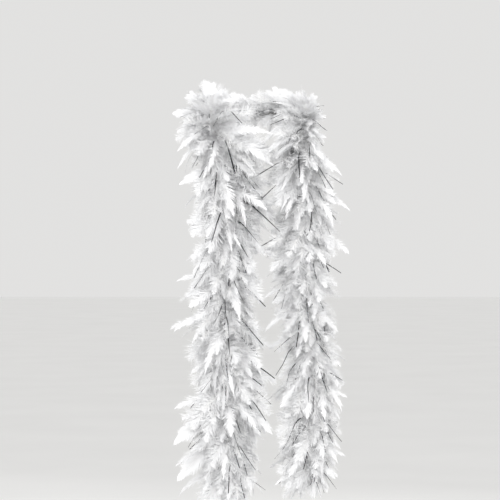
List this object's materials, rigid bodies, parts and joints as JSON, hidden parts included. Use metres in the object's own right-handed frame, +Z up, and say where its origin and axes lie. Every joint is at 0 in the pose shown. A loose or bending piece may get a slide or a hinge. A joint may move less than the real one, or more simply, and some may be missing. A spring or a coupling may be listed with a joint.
{
  "type": "feather boa",
  "caption": "Fluffy white chandelle feather boa on a cord core with silver tinsel strands, worn round the neck with both ends hanging down the front.",
  "frame": {"origin": "centre of the neck opening, level with the core cord where it runs round the neck", "axes": "+Z up, -Y to the wearer's front, +X to the viewer's right when seen from the front"},
  "size_m": [0.3899, 0.3481, 0.9159],
  "materials": {
    "feather_vane": "satin",
    "feather_down": "matte",
    "core_twine": "matte",
    "binding_thread": "matte",
    "end_twine": "matte",
    "tinsel_film": "polished"
  },
  "bodies": {
    "collar": {"core_cord_collar": "core_twine", "down_collar_left": "feather_down", "down_nape": "feather_down", "down_collar_right": "feather_down", "feathers_collar_left": "feather_vane", "feathers_nape": "feather_vane", "feathers_collar_right": "feather_vane", "tinsel_collar": "tinsel_film", "binding_thread_collar": "binding_thread"},
    "left_upper": {"core_cord_left_upper": "core_twine", "down_left_upper": "feather_down", "feathers_left_upper": "feather_vane", "tinsel_left_upper": "tinsel_film", "binding_thread_left_upper": "binding_thread"},
    "left_middle": {"core_cord_left_middle": "core_twine", "down_left_middle": "feather_down", "feathers_left_middle": "feather_vane", "tinsel_left_middle": "tinsel_film", "binding_thread_left_middle": "binding_thread"},
    "left_lower": {"core_cord_left_lower": "core_twine", "down_left_lower": "feather_down", "feathers_left_lower": "feather_vane", "tinsel_left_lower": "tinsel_film", "binding_thread_left_lower": "binding_thread", "end_whipping_left": "binding_thread", "end_knot_left": "end_twine", "end_strands_left": "end_twine"},
    "right_upper": {"core_cord_right_upper": "core_twine", "down_right_upper": "feather_down", "feathers_right_upper": "feather_vane", "tinsel_right_upper": "tinsel_film", "binding_thread_right_upper": "binding_thread"},
    "right_middle": {"core_cord_right_middle": "core_twine", "down_right_middle": "feather_down", "feathers_right_middle": "feather_vane", "tinsel_right_middle": "tinsel_film", "binding_thread_right_middle": "binding_thread"},
    "right_lower": {"core_cord_right_lower": "core_twine", "down_right_lower": "feather_down", "feathers_right_lower": "feather_vane", "tinsel_right_lower": "tinsel_film", "binding_thread_right_lower": "binding_thread", "end_whipping_right": "binding_thread", "end_knot_right": "end_twine", "end_strands_right": "end_twine"}
  },
  "joints": [
    {"name": "left_collarbone_lift", "type": "hinge", "parent": "collar", "child": "left_upper", "pos_m": [-0.09, -0.098, -0.07], "axis": [-1, 0, 0], "range_deg": [-20, 60]},
    {"name": "left_chest_swing", "type": "hinge", "parent": "left_upper", "child": "left_middle", "pos_m": [-0.066, -0.098, -0.305], "axis": [0, 1, 0], "range_deg": [0, 60]},
    {"name": "left_hip_lift", "type": "hinge", "parent": "left_middle", "child": "left_lower", "pos_m": [-0.07, -0.098, -0.55], "axis": [-1, 0, 0], "range_deg": [-45, 60]},
    {"name": "right_collarbone_lift", "type": "hinge", "parent": "collar", "child": "right_upper", "pos_m": [0.103, -0.098, -0.07], "axis": [-1, 0, 0], "range_deg": [-20, 60]},
    {"name": "right_chest_swing", "type": "hinge", "parent": "right_upper", "child": "right_middle", "pos_m": [0.11, -0.098, -0.305], "axis": [0, -1, 0], "range_deg": [0, 60]},
    {"name": "right_hip_lift", "type": "hinge", "parent": "right_middle", "child": "right_lower", "pos_m": [0.118, -0.098, -0.55], "axis": [-1, 0, 0], "range_deg": [-45, 60]}
  ]
}
